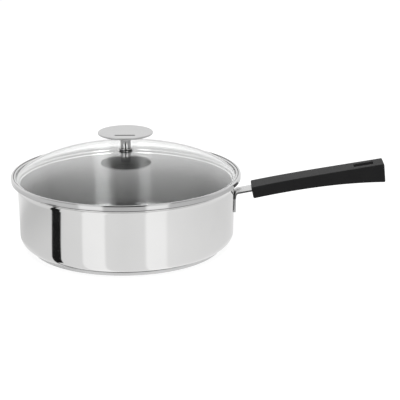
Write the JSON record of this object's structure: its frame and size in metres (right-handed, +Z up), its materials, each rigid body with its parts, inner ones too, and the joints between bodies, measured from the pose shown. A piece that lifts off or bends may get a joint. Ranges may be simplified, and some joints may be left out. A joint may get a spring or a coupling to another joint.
{
  "type": "saute pan with lid",
  "caption": "Straight-walled steel saute pan with a sandwich base, a fixed black moulded handle and a lift-off domed glass lid with a flat disc knob.",
  "frame": {"origin": "middle of the underside of the base, on the pan's axis", "axes": "+Z up along the pan's axis, +X from the pan's axis along the handle"},
  "size_m": [0.4186, 0.2574, 0.1322],
  "materials": {
    "polished_steel": "mirror polished outside, circular satin inside the pan",
    "satin_steel": "satin",
    "aluminium_core": "rolled, hidden",
    "black_moulding": "fine matte",
    "brass": "turned, hidden",
    "clear_glass": "clear, toughened",
    "silicone": "matte"
  },
  "bodies": {
    "pan": {"pan_body": "polished_steel", "base_core": "aluminium_core", "base_cap": "satin_steel", "handle_strap": "satin_steel", "grip": "black_moulding", "grip_screw": "satin_steel", "grip_insert": "brass"},
    "lid": {"lid_glass": "clear_glass", "rim_seal": "silicone", "rim_band": "polished_steel", "knob_disc": "polished_steel", "knob_stem": "polished_steel", "knob_collar": "polished_steel", "collar_gasket": "silicone", "hole_bush": "silicone", "backing_washer": "satin_steel", "knob_screw": "satin_steel"}
  },
  "joints": [
    {"name": "lid_lift", "type": "slide", "parent": "pan", "child": "lid", "axis": [0, 0, 1], "range_m": [0, 0.12]}
  ]
}
